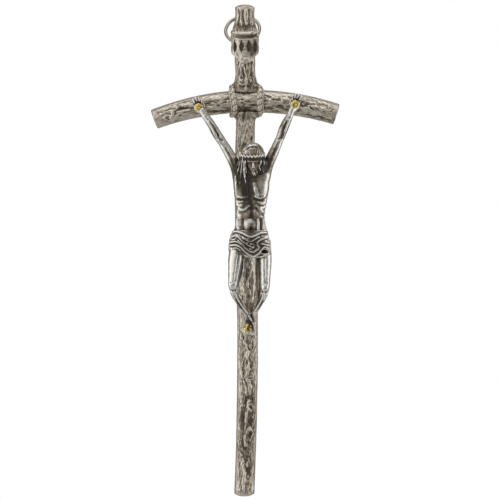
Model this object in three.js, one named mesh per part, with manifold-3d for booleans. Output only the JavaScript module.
// Wall crucifix in cast white metal, about 160 mm tall: a branch-textured upright with a bowed crossbeam
// half-lapped in front of it, rope lashings, a small scroll, a separately cast figure held by three
// brass rivets, and a wire ring in an eye on the back.
//
// Frame, in millimetres: +Z up along the upright, +X to the right of somebody who faces the figure,
// -Y towards that person and +Y out of the flat back, into the wall. The origin lies on the flat back
// of the upright, straight behind the middle of the crossing.

import * as THREE from 'three';
import { mergeVertices } from 'three/addons/utils/BufferGeometryUtils.js';
import Module from 'manifold-3d';

const wasm = await Module();
wasm.setup();

// ---- driving dimensions, millimetres ----

const GAP = 0.3; // clearance between fitted neighbours
const TURN = Math.PI / 180; // one degree

const UPRIGHT_TOP = 31.4;
const UPRIGHT_BOTTOM = -128.6;
const UPRIGHT_DEPTH = 5.2;
const UPRIGHT_WIDTH = [[-128.6, 6.5], [-30, 6.5], [-12, 6.2], [4, 6.8], [9, 7.0], [13, 6.6], [31.4, 6.6]];
const UPRIGHT_SWAY = [[-128.6, -0.2], [-104, 0.59], [-78, 0.88], [-16, 0], [31.4, 0]];

const BEAM_RADIUS = 89.6; // of the bow, along the middle of the beam
const BEAM_HALF_ANGLE = 19.4 * TURN;
const BEAM_TILT = 1.6 * TURN; // the right end rides higher
const BEAM_DEPTH = 6.6;
const BEAM_WIDTH = [[-31, 6.4], [0, 7.3], [31, 6.9]]; // against the distance along the beam
const LAP_DEPTH = 2.6; // what the upright keeps behind the beam
const LAP_HALF_HEIGHT = 4.1;

const SCROLL_TOP = 23.3;
const SCROLL_ROLL_HEIGHT = 2.4;
const SCROLL_SHOULDER = 16.7; // where the plate starts to narrow
const SCROLL_BOTTOM = 11.9;
const SCROLL_HALF_WIDTH = 4.5;
const SCROLL_DEPTH = 6.3;
const SCROLL_BACK = 0.7; // distance of its edges from the upright's back
const LOZENGE_AT = [-3.3, -1.0, 1.3, 3.5];
const LOZENGE_Z = 17.7;
const LOZENGE_HALF_HEIGHT = 1.2;

const ROPE_RADIUS = 0.8;

const RIVET_SHANK = 0.6;
const RIVET_HOLE = 0.9;
const RIVET_HEAD = 1.42;
const RIVET_HEAD_HEIGHT = 0.75;
const RIVET_TAIL = 1.2;
const RIVET_SINK_RADIUS = 1.5;
const RIVET_SINK_DEPTH = 0.9;
const LEFT_HAND = { x: -14.93, z: -1.99 };
const RIGHT_HAND = { x: 16.33, z: -0.98 };
const FEET = { x: 0.91, z: -73.56 };
const HAND_THICKNESS = 1.4;
const FEET_FRONT = -8.3; // y of the seat under the foot rivet's head

const EYE = { y: 2.2, z: 19.3 };
const EYE_THICKNESS = 1.6;
const EYE_HOLE = 0.95;
const EYE_OUTER = 1.75;
const EYE_FOOT_HEIGHT = 5.6;
const EYE_FOOT_WIDTH = 3.6;
const EYE_FOOT_DEPTH = 0.5;

const RING_RADIUS = 5.56; // to the middle of the wire
const WIRE_RADIUS = 0.54;
const RING_LEAN = 39 * TURN; // back from upright
const RING_SWAY = 10 * TURN;
const RING_SPLIT = 3 * TURN;
const RING_SPLIT_AT = 24 * TURN; // from the eye, round the ring

// The figure's joints, [x, y, z].
const SHOULDER = { left: [-3.7, -8.9, -19.3], right: [7.9, -8.9, -18.8] };
const ELBOW = { left: [-8.6, -8.3, -12.2], right: [11.4, -8.3, -11.9] };
const WRIST = { left: [-13.2, -8.0, -4.2], right: [15.0, -8.0, -4.1] };
const HIP = { left: [-2.2, -9.4, -47.4], right: [5.9, -9.4, -48.0] };
const KNEE = { left: [-3.8, -12.2, -60.3], right: [6.6, -12.0, -61.4] };
const ANKLE = { left: [1.7, -7.9, -70.6], right: [2.3, -7.1, -69.6] };
const HEAD = [2.7, -12.2, -18.6];
const TORSO_X = 2.05;
const TORSO_Y = -9.3;

// ---- shared geometry ----

// A smooth curve through [position, value] pairs that are sorted by position.
function through(pairs) {
  return (at) => {
    let i = 0;
    while (i < pairs.length - 2 && at > pairs[i + 1][0]) {
      i += 1;
    }
    const before = pairs[Math.max(i - 1, 0)];
    const [a, b] = [pairs[i], pairs[i + 1]];
    const after = pairs[Math.min(i + 2, pairs.length - 1)];
    const span = b[0] - a[0];
    const t = THREE.MathUtils.clamp((at - a[0]) / span, 0, 1);
    const slopeA = i > 0 ? (b[1] - before[1]) / (b[0] - before[0]) : (b[1] - a[1]) / span;
    const slopeB = i < pairs.length - 2 ? (after[1] - a[1]) / (after[0] - a[0]) : (b[1] - a[1]) / span;
    const square = t * t;
    const cube = square * t;
    return (2 * cube - 3 * square + 1) * a[1] + (cube - 2 * square + t) * span * slopeA
      + (3 * square - 2 * cube) * b[1] + (cube - square) * span * slopeB;
  };
}

// Moves every vertex of a geometry to what the function makes of it.
function reshape(geometry, move) {
  const position = geometry.attributes.position;
  const point = new THREE.Vector3();
  for (let i = 0; i < position.count; i += 1) {
    point.fromBufferAttribute(position, i);
    const [x, y, z] = move(point.x, point.y, point.z);
    position.setXYZ(i, x, y, z);
  }
  return geometry;
}

// A closed geometry as a solid for joins and cuts, turned to face out if it faces in.
function solid(geometry) {
  const bare = geometry.clone();
  bare.deleteAttribute('normal');
  bare.deleteAttribute('uv');
  const merged = mergeVertices(bare, 1e-4);
  const vertices = Float32Array.from(merged.attributes.position.array);
  const index = Uint32Array.from(merged.index.array);
  const corners = [0, 1, 2].map(() => new THREE.Vector3());
  const kept = [];
  let volume = 0;
  for (let i = 0; i < index.length; i += 3) {
    const [a, b, c] = index.subarray(i, i + 3);
    if (a === b || b === c || c === a) {
      continue;
    }
    kept.push(a, b, c);
    [a, b, c].forEach((vertex, k) => corners[k].fromArray(vertices, vertex * 3));
    volume += corners[0].dot(corners[1].clone().cross(corners[2]));
  }
  if (volume < 0) {
    kept.reverse();
  }
  const mesh = new wasm.Mesh({ numProp: 3, vertProperties: vertices, triVerts: Uint32Array.from(kept) });
  return new wasm.Manifold(mesh);
}

function toGeometry(manifold) {
  const mesh = manifold.getMesh();
  const geometry = new THREE.BufferGeometry();
  geometry.setAttribute('position', new THREE.BufferAttribute(mesh.vertProperties, 3));
  geometry.setIndex(new THREE.BufferAttribute(mesh.triVerts, 1));
  return geometry;
}

function join(solids) {
  return solids.reduce((whole, next) => whole.add(next));
}

function cut(whole, tools) {
  return tools.reduce((rest, tool) => rest.subtract(tool), whole);
}

// Round bar through points given along a line, as [distance along, radius], from one place to another.
// flat squashes it along the direction that is nearest to Y.
function limb(from, to, profile, { flat = 1, sides = 8 } = {}) {
  const start = new THREE.Vector3(...from);
  const axis = new THREE.Vector3(...to).sub(start);
  const length = axis.length();
  axis.normalize();
  const side = new THREE.Vector3(0, 1, 0).cross(axis).normalize();
  const front = axis.clone().cross(side);
  const radius = through(profile);
  const [low, high] = [profile[0][0], profile[profile.length - 1][0]];
  const steps = profile.length + 1;
  const outline = [new THREE.Vector2(0, low * length)];
  for (let i = 0; i <= steps; i += 1) {
    const t = THREE.MathUtils.lerp(low, high, i / steps);
    outline.push(new THREE.Vector2(radius(t), t * length));
  }
  outline.push(new THREE.Vector2(0, high * length));
  const geometry = new THREE.LatheGeometry(outline, sides);
  const place = new THREE.Vector3();
  reshape(geometry, (x, y, z) => {
    place.copy(start).addScaledVector(axis, y).addScaledVector(side, x).addScaledVector(front, z * flat);
    return place.toArray();
  });
  return solid(geometry);
}

function ball(centre, radii, sides = 8) {
  const geometry = new THREE.SphereGeometry(1, sides, Math.round(sides * 0.6));
  geometry.scale(...radii);
  geometry.translate(...centre);
  return solid(geometry);
}

function box(low, high) {
  const size = high.map((value, i) => value - low[i]);
  const geometry = new THREE.BoxGeometry(...size);
  geometry.translate(...low.map((value, i) => value + size[i] / 2));
  return solid(geometry);
}

// A round bar along Y, as every rivet and rivet hole is.
function barAlongY({ x, z }, radius, front, back, sides = 14) {
  const geometry = new THREE.CylinderGeometry(radius, radius, back - front, sides);
  geometry.translate(x, (front + back) / 2, z);
  return solid(geometry);
}

// The section of a half-round bar: flat back on y = back, front rounded, both measured towards -Y.
function halfRound(halfWidth, depth, back, curveSegments) {
  const flank = depth * 0.4;
  const shape = new THREE.Shape();
  shape.moveTo(halfWidth, back);
  shape.lineTo(halfWidth, -flank);
  shape.absellipse(0, -flank, halfWidth, depth - flank, 0, Math.PI, true);
  shape.lineTo(-halfWidth, back);
  shape.closePath();
  return { shape, curveSegments };
}

// ---- the cross ----

// The upright's outline, grown sideways and forwards where a neighbour has to clear it.
function uprightBar({ low, high, grow = 0, back = 0, steps = 26, edge = 0.35 }) {
  const { shape, curveSegments } = halfRound(1, UPRIGHT_DEPTH + grow, back, 6);
  const depth = high - low - 2 * edge;
  const geometry = new THREE.ExtrudeGeometry(shape, {
    depth, steps, curveSegments, bevelEnabled: edge > 0, bevelThickness: edge, bevelSize: 0.05,
    bevelOffset: -0.05, bevelSegments: 1,
  });
  const width = through(UPRIGHT_WIDTH);
  const sway = through(UPRIGHT_SWAY);
  reshape(geometry, (x, y, z) => {
    const height = z + low + edge;
    return [x * (width(height) / 2 + grow) + sway(height), Math.min(y, back), height];
  });
  return solid(geometry);
}

function rivetPassages(grow = 0) {
  return [LEFT_HAND, RIGHT_HAND, FEET].map((place) => barAlongY(place, RIVET_HOLE + grow, -20, 5));
}

function rivetSinks() {
  return [LEFT_HAND, RIGHT_HAND, FEET].map((place) => {
    const geometry = new THREE.CylinderGeometry(RIVET_SINK_RADIUS, RIVET_HOLE, RIVET_SINK_DEPTH, 14);
    geometry.translate(place.x, -RIVET_SINK_DEPTH / 2, place.z);
    return solid(geometry);
  });
}

function upright() {
  const bar = uprightBar({ low: UPRIGHT_BOTTOM, high: UPRIGHT_TOP });
  const lap = box([-8, -BEAM_DEPTH - 2, -LAP_HALF_HEIGHT], [8, -LAP_DEPTH, LAP_HALF_HEIGHT]);
  return cut(bar, [lap, ...rivetPassages(), ...rivetSinks()]);
}

function crossbeam() {
  const { shape, curveSegments } = halfRound(1, BEAM_DEPTH, 0, 6);
  const length = 2 * BEAM_RADIUS * BEAM_HALF_ANGLE;
  const edge = 0.35;
  const geometry = new THREE.ExtrudeGeometry(shape, {
    depth: length - 2 * edge, steps: 20, curveSegments, bevelEnabled: true, bevelThickness: edge,
    bevelSize: 0.05, bevelOffset: -0.05, bevelSegments: 1,
  });
  const width = through(BEAM_WIDTH);
  // The section's x points to the inside of the bow; its own z becomes the distance along the bow.
  reshape(geometry, (x, y, z) => {
    const along = z + edge - length / 2;
    const angle = along / BEAM_RADIUS;
    const radius = BEAM_RADIUS - x * width(along) / 2;
    return [Math.sin(angle) * radius, Math.min(y, 0), Math.cos(angle) * radius - BEAM_RADIUS];
  });
  geometry.rotateY(-BEAM_TILT);
  const behind = UPRIGHT_WIDTH[3][1] / 2 + GAP;
  const lap = box([-behind, -LAP_DEPTH - GAP, -8], [behind, 2, 8]);
  return cut(solid(geometry), [lap, ...rivetPassages(), ...rivetSinks()]);
}

// The scroll wraps round the upright's front and flanks: a roll along the top, then a plate that
// narrows to a tongue.
function titleScroll() {
  const wrap = (low, high, halfWidth, depth, edge) => {
    const { shape, curveSegments } = halfRound(halfWidth - edge, depth - edge, -SCROLL_BACK, 7);
    const geometry = new THREE.ExtrudeGeometry(shape, {
      depth: high - low - 2 * edge, steps: 1, curveSegments, bevelEnabled: true,
      bevelThickness: edge, bevelSize: edge, bevelSegments: 2,
    });
    reshape(geometry, (x, y, z) => [x, Math.min(y, -SCROLL_BACK), z + low + edge]);
    return solid(geometry);
  };
  const outline = new THREE.Shape();
  outline.moveTo(-6, SCROLL_TOP);
  outline.lineTo(-6, SCROLL_SHOULDER + 0.6);
  outline.bezierCurveTo(-4.2, SCROLL_SHOULDER, -2.8, 15.2, -2.5, 13.6);
  outline.bezierCurveTo(-2.3, SCROLL_BOTTOM - 0.5, 1.7, SCROLL_BOTTOM - 0.5, 2.1, 13.6);
  outline.bezierCurveTo(2.6, 15.2, 4.2, SCROLL_SHOULDER, 6, SCROLL_SHOULDER + 0.6);
  outline.lineTo(6, SCROLL_TOP);
  const sheet = new THREE.ExtrudeGeometry(outline, { depth: 12, bevelEnabled: false, curveSegments: 6 });
  reshape(sheet, (x, y, z) => [x, -z, y]);
  const groove = SCROLL_TOP - SCROLL_ROLL_HEIGHT;
  const plate = wrap(SCROLL_BOTTOM, groove - 0.5, SCROLL_HALF_WIDTH, SCROLL_DEPTH, 0.15);
  const neck = wrap(groove - 1.2, groove + 1.2, SCROLL_HALF_WIDTH - 0.25, SCROLL_DEPTH - 0.3, 0.1);
  const roll = wrap(groove, SCROLL_TOP, SCROLL_HALF_WIDTH + 0.2, SCROLL_DEPTH + 0.5, 0.8);
  const whole = join([plate.intersect(solid(sheet)), neck, roll]);
  const core = uprightBar({
    low: SCROLL_BOTTOM - 3, high: SCROLL_TOP + 3, grow: GAP, back: 3, steps: 8, edge: 0,
  });
  const marks = LOZENGE_AT.map((x) => {
    const shape = new THREE.Shape();
    shape.moveTo(0, LOZENGE_HALF_HEIGHT);
    shape.lineTo(0.5, 0);
    shape.lineTo(0, -LOZENGE_HALF_HEIGHT);
    shape.lineTo(-0.5, 0);
    const geometry = new THREE.ExtrudeGeometry(shape, { depth: 4, bevelEnabled: false });
    const floor = -UPRIGHT_DEPTH - GAP + (Math.abs(x) > 2 ? 2.4 : 0.1) - 0.55;
    reshape(geometry, (u, v, w) => [u + x, floor - w, v + LOZENGE_Z]);
    return solid(geometry);
  });
  return cut(whole, [core, ...marks]);
}

// One strand, bent like a staple over the beam beside the upright.
function lashing(side, drift) {
  const x = (value) => side * value;
  const route = [
    [x(4.6), -1.3, 4.95], [x(4.65), -4.8, 4.95], [x(4.6), -7.0, 4.7], [x(4.45 - drift * 0.3), -7.85, 3.2],
    [x(4.3 - drift * 0.7), -7.9, 0.4], [x(4.3 - drift), -7.9, -2.6], [x(4.4 - drift * 0.6), -7.1, -4.9],
    [x(4.6), -4.8, -5.2], [x(4.6), -1.3, -5.2],
  ];
  const path = new THREE.CatmullRomCurve3(route.map((point) => new THREE.Vector3(...point)), false, 'centripetal');
  const shape = new THREE.Shape();
  shape.absarc(0, 0, ROPE_RADIUS, 0, 2 * Math.PI);
  return solid(new THREE.ExtrudeGeometry(shape, { steps: 24, curveSegments: 4, extrudePath: path }));
}

// ---- hanging ring and its eye ----

function ringEye() {
  const plate = new THREE.Shape();
  plate.moveTo(0, -EYE_FOOT_HEIGHT / 2);
  plate.bezierCurveTo(0.9, -2.2, 1.2, -EYE_OUTER - 0.2, EYE.y, -EYE_OUTER);
  plate.absarc(EYE.y, 0, EYE_OUTER, -Math.PI / 2, Math.PI / 2, false);
  plate.bezierCurveTo(1.2, EYE_OUTER + 0.2, 0.9, 2.2, 0, EYE_FOOT_HEIGHT / 2);
  plate.closePath();
  const hole = new THREE.Path();
  hole.absarc(EYE.y, 0, EYE_HOLE, 0, 2 * Math.PI, true);
  plate.holes.push(hole);
  const settings = { depth: EYE_THICKNESS, bevelEnabled: false, curveSegments: 12 };
  const lug = new THREE.ExtrudeGeometry(plate, settings);
  reshape(lug, (x, y, z) => [z - EYE_THICKNESS / 2, x, y + EYE.z]);
  const foot = new THREE.CylinderGeometry(1, 1, EYE_FOOT_DEPTH, 20);
  foot.scale(EYE_FOOT_WIDTH / 2, 1, EYE_FOOT_HEIGHT / 2 + 0.2);
  foot.translate(0, EYE_FOOT_DEPTH / 2, EYE.z);
  return solid(lug).add(solid(foot));
}

// The ring hangs in the eye by its lowest point, leaning back and swayed to one side.
function hangingRing() {
  const along = new THREE.Vector3(Math.cos(RING_SWAY), 0, Math.sin(RING_SWAY));
  const rise = new THREE.Vector3(
    -Math.sin(RING_SWAY) * Math.cos(RING_LEAN), Math.sin(RING_LEAN), Math.cos(RING_SWAY) * Math.cos(RING_LEAN),
  );
  const centre = new THREE.Vector3(0, EYE.y, EYE.z).addScaledVector(rise, RING_RADIUS);
  class RingPath extends THREE.Curve {
    getPoint(t, target = new THREE.Vector3()) {
      const angle = RING_SPLIT_AT + RING_SPLIT / 2 + t * (2 * Math.PI - RING_SPLIT);
      return target.copy(centre)
        .addScaledVector(along, RING_RADIUS * Math.sin(angle))
        .addScaledVector(rise, -RING_RADIUS * Math.cos(angle));
    }
  }
  const shape = new THREE.Shape();
  shape.absarc(0, 0, WIRE_RADIUS, 0, 2 * Math.PI);
  return solid(new THREE.ExtrudeGeometry(shape, { steps: 44, curveSegments: 4, extrudePath: new RingPath() }));
}

// ---- the figure ----

// A round form about a vertical line, from [height, half width] pairs, flattened from front to back.
function trunk(x, y, pairs, flat, sides = 14) {
  const [low, high] = [pairs[0][0], pairs[pairs.length - 1][0]];
  const profile = pairs.map(([z, radius]) => [(z - low) / (high - low), radius]);
  return limb([x, y, low], [x, y, high], profile, { flat, sides });
}

function arm(side) {
  const upper = limb(SHOULDER[side], ELBOW[side], [[0, 1.75], [0.45, 1.45], [1, 1.1]]);
  const lower = limb(ELBOW[side], WRIST[side], [[0, 1.1], [0.35, 1.35], [1, 0.85]]);
  return join([
    upper, lower, ball(SHOULDER[side], [2.0, 1.9, 2.0]), ball(ELBOW[side], [1.15, 1.15, 1.15]),
    ball(WRIST[side], [0.9, 0.8, 0.9]),
  ]);
}

// An open hand on the beam's face, its fingers up and curled a little forwards. out is -1 on the left.
function hand(place, wrist, out) {
  const back = -BEAM_DEPTH - GAP;
  const middle = back - HAND_THICKNESS / 2;
  const palm = limb(
    [wrist[0], middle, wrist[2]], [place.x + out * 0.5, middle, place.z + 1.4],
    [[-0.05, 0.75], [0.5, 1.6], [0.9, 1.75], [1.05, 1.2]], { flat: 0.45 },
  );
  const fingers = [-1.5, -0.55, 0.4, 1.35].map((spread) => limb(
    [place.x + out * 0.5 + spread * 0.8, middle, place.z + 1.2],
    [place.x + out * 1.0 + spread * 1.15, middle - 0.6, place.z + 3.5 - Math.abs(spread) * 0.35],
    [[0, 0.42], [0.6, 0.42], [1.05, 0.28]], { sides: 6 },
  ));
  const thumb = limb(
    [place.x - out * 1.0, middle, place.z - 0.6], [place.x - out * 1.9, middle - 0.35, place.z + 1.7],
    [[0, 0.5], [0.6, 0.45], [1.05, 0.3]], { sides: 6 },
  );
  return join([palm, ...fingers, thumb]);
}

function leg(side) {
  const thigh = limb(HIP[side], KNEE[side], [[0, 2.3], [0.4, 2.15], [1, 1.6]]);
  const shin = limb(KNEE[side], ANKLE[side], [[0, 1.45], [0.3, 1.5], [1, 0.95]]);
  const [x, y, z] = KNEE[side];
  return join([thigh, shin, ball([x, y - 0.1, z], [1.65, 1.6, 1.7]), ball(ANKLE[side], [1.05, 1, 1.05])]);
}

// One foot lies on the other, and both turn their soles to the upright.
function feet() {
  const back = -UPRIGHT_DEPTH - GAP;
  const under = limb(
    [ANKLE.right[0] - 0.6, back - 1.2, ANKLE.right[2]], [0.3, back - 1.0, -75.2],
    [[0, 0.95], [0.6, 1.25], [0.95, 1.1], [1.03, 0.6]], { flat: 0.8 },
  );
  const over = limb(
    [ANKLE.left[0], back - 2.0, ANKLE.left[2]], [2.2, back - 1.4, -75.9],
    [[0, 1.0], [0.6, 1.4], [0.95, 1.15], [1.03, 0.6]], { flat: 0.85 },
  );
  return join([under, over]);
}

// A bowed head: skull, long hair to both sides, beard, a plain nose and brow, and a plaited crown.
function head() {
  const [x, y, z] = HEAD;
  const skull = ball([x, y, z], [2.85, 3.0, 3.7], 12);
  const hairBack = ball([x, y + 1.6, z - 0.4], [3.4, 2.6, 4.6], 12);
  const lockLeft = limb([x - 2.7, y, z + 0.5], [x - 3.5, y + 1.6, z - 6.2], [[0, 1.0], [0.6, 1.1], [1, 0.5]]);
  const lockRight = limb([x + 2.7, y + 0.3, z + 0.5], [x + 3.0, y + 1.4, z - 4.8], [[0, 1.0], [0.6, 1.1], [1, 0.5]]);
  const beard = limb([x, y - 1.6, z - 2.6], [x - 0.1, y - 1.5, z - 5.8], [[0, 1.7], [0.5, 1.5], [1, 0.5]]);
  const nose = limb([x, y - 2.7, z + 0.2], [x, y - 3.1, z - 1.5], [[0, 0.3], [1, 0.5]], { sides: 6 });
  const brow = ball([x, y - 2.4, z + 0.5], [1.9, 0.8, 0.5]);
  const neck = limb([TORSO_X, TORSO_Y + 0.2, -24], [x, y + 0.9, z - 0.6], [[0, 2.3], [0.6, 2.1], [1, 2.2]]);
  const band = new THREE.TorusGeometry(1, 0.19, 6, 18);
  band.scale(3.15, 3.3, 3.3);
  band.rotateX(-20 * TURN);
  band.translate(x, y + 0.2, z + 1.2);
  return join([skull, hairBack, lockLeft, lockRight, beard, nose, brow, neck, solid(band)]);
}

function torso() {
  const chest = trunk(
    TORSO_X, TORSO_Y,
    [[-44, 4.7], [-40.5, 4.9], [-37, 4.6], [-32.4, 5.0], [-27, 5.6], [-24, 5.7], [-21.5, 4.9], [-19.6, 2.6]], 0.56,
  );
  const ribs = ball([TORSO_X, TORSO_Y - 0.9, -28.2], [4.7, 2.9, 5.0], 12);
  const pectorals = [-1, 1].map((side) => ball([TORSO_X + side * 2.5, TORSO_Y - 2.1, -24.6], [2.5, 1.4, 1.9], 10));
  const shoulders = limb(SHOULDER.left, SHOULDER.right, [[0, 1.7], [0.5, 2.3], [1, 1.7]]);
  return join([chest, ribs, shoulders, ...pectorals]);
}

function loincloth() {
  const wrap = trunk(
    TORSO_X - 0.1, TORSO_Y - 0.3, [[-50.4, 4.6], [-49, 6.1], [-46, 6.4], [-43, 5.7], [-42, 4.9]], 0.62,
  );
  const dip = ball([TORSO_X, TORSO_Y - 2.2, -49.2], [3.2, 1.7, 2.0], 10);
  const knot = ball([7.9, TORSO_Y - 1.6, -45.2], [1.35, 1.5, 2.3], 10);
  const folds = [0, 1, 2].map((row) => limb(
    [-3.6, TORSO_Y - 3.0, -43.2 - row * 1.9], [3.6, TORSO_Y - 4.2, -46.2 - row * 1.6],
    [[0, 0.45], [0.5, 0.6], [1, 0.35]], { sides: 6 },
  ));
  return join([wrap, dip, knot, ...folds]);
}

function corpus() {
  const body = join([
    torso(), loincloth(), head(), arm('left'), arm('right'), leg('left'), leg('right'), feet(),
    hand(LEFT_HAND, WRIST.left, -1), hand(RIGHT_HAND, WRIST.right, 1),
  ]);
  const beamFront = -BEAM_DEPTH - GAP;
  const uprightFront = -UPRIGHT_DEPTH - GAP;
  const room = [
    box([-20, beamFront, -6], [22, 2, 8]),
    box([-20, uprightFront, -80], [22, 2, -6]),
  ];
  const seat = (place, y) => barAlongY(place, RIVET_HEAD + GAP, -20, y);
  const seats = [
    seat(LEFT_HAND, beamFront - HAND_THICKNESS), seat(RIGHT_HAND, beamFront - HAND_THICKNESS),
    seat(FEET, FEET_FRONT),
  ];
  return cut(body, [...room, ...rivetPassages(), ...seats]);
}

// A rivet from front to back: domed head, plain shank, tail spread in the sink of the flat back.
function rivet(place, seatY, dimple) {
  const seat = seatY;
  const top = seat - RIVET_HEAD_HEIGHT;
  const outline = [
    new THREE.Vector2(0, 0), new THREE.Vector2(RIVET_TAIL, 0), new THREE.Vector2(RIVET_TAIL, -0.15),
    new THREE.Vector2(RIVET_SHANK, -RIVET_SINK_DEPTH), new THREE.Vector2(RIVET_SHANK, seat),
    new THREE.Vector2(RIVET_HEAD, seat), new THREE.Vector2(RIVET_HEAD, seat - 0.3),
    new THREE.Vector2(RIVET_HEAD * 0.82, seat - 0.6), new THREE.Vector2(RIVET_HEAD * 0.45, top),
    new THREE.Vector2(0, top + dimple),
  ];
  const geometry = new THREE.LatheGeometry(outline, 14);
  geometry.translate(place.x, 0, place.z);
  return solid(geometry);
}

// ---- assembly ----

const PEWTER = { color: 0x9b958c, roughness: 0.5, metalness: 0.9 };
const FIGURE_METAL = { color: 0x8d8983, roughness: 0.35, metalness: 0.95 };
const BRASS = { color: 0xc9a551, roughness: 0.35, metalness: 0.95 };
const RING_STEEL = { color: 0x6b625a, roughness: 0.35, metalness: 0.9 };

const handSeat = -BEAM_DEPTH - GAP - HAND_THICKNESS;
const parts = [
  ['upright', upright(), PEWTER],
  ['crossbeam', crossbeam(), PEWTER],
  ['title_scroll', titleScroll(), PEWTER],
  ['lashing_left', lashing(-1, 0.75), PEWTER],
  ['lashing_right', lashing(1, -0.4), PEWTER],
  ['corpus', corpus(), FIGURE_METAL],
  ['hand_rivet_left', rivet(LEFT_HAND, handSeat - 0.02, 0.02), BRASS],
  ['hand_rivet_right', rivet(RIGHT_HAND, handSeat - 0.02, 0.02), BRASS],
  ['foot_rivet', rivet(FEET, FEET_FRONT - 0.02, 0.25), BRASS],
  ['ring_eye', ringEye(), PEWTER],
  ['hanging_ring', hangingRing(), RING_STEEL],
];

const crucifix = new THREE.Group();
for (const [name, shape, look] of parts) {
  const mesh = new THREE.Mesh(toGeometry(shape), new THREE.MeshStandardMaterial(look));
  mesh.name = name;
  crucifix.add(mesh);
}

export default crucifix;
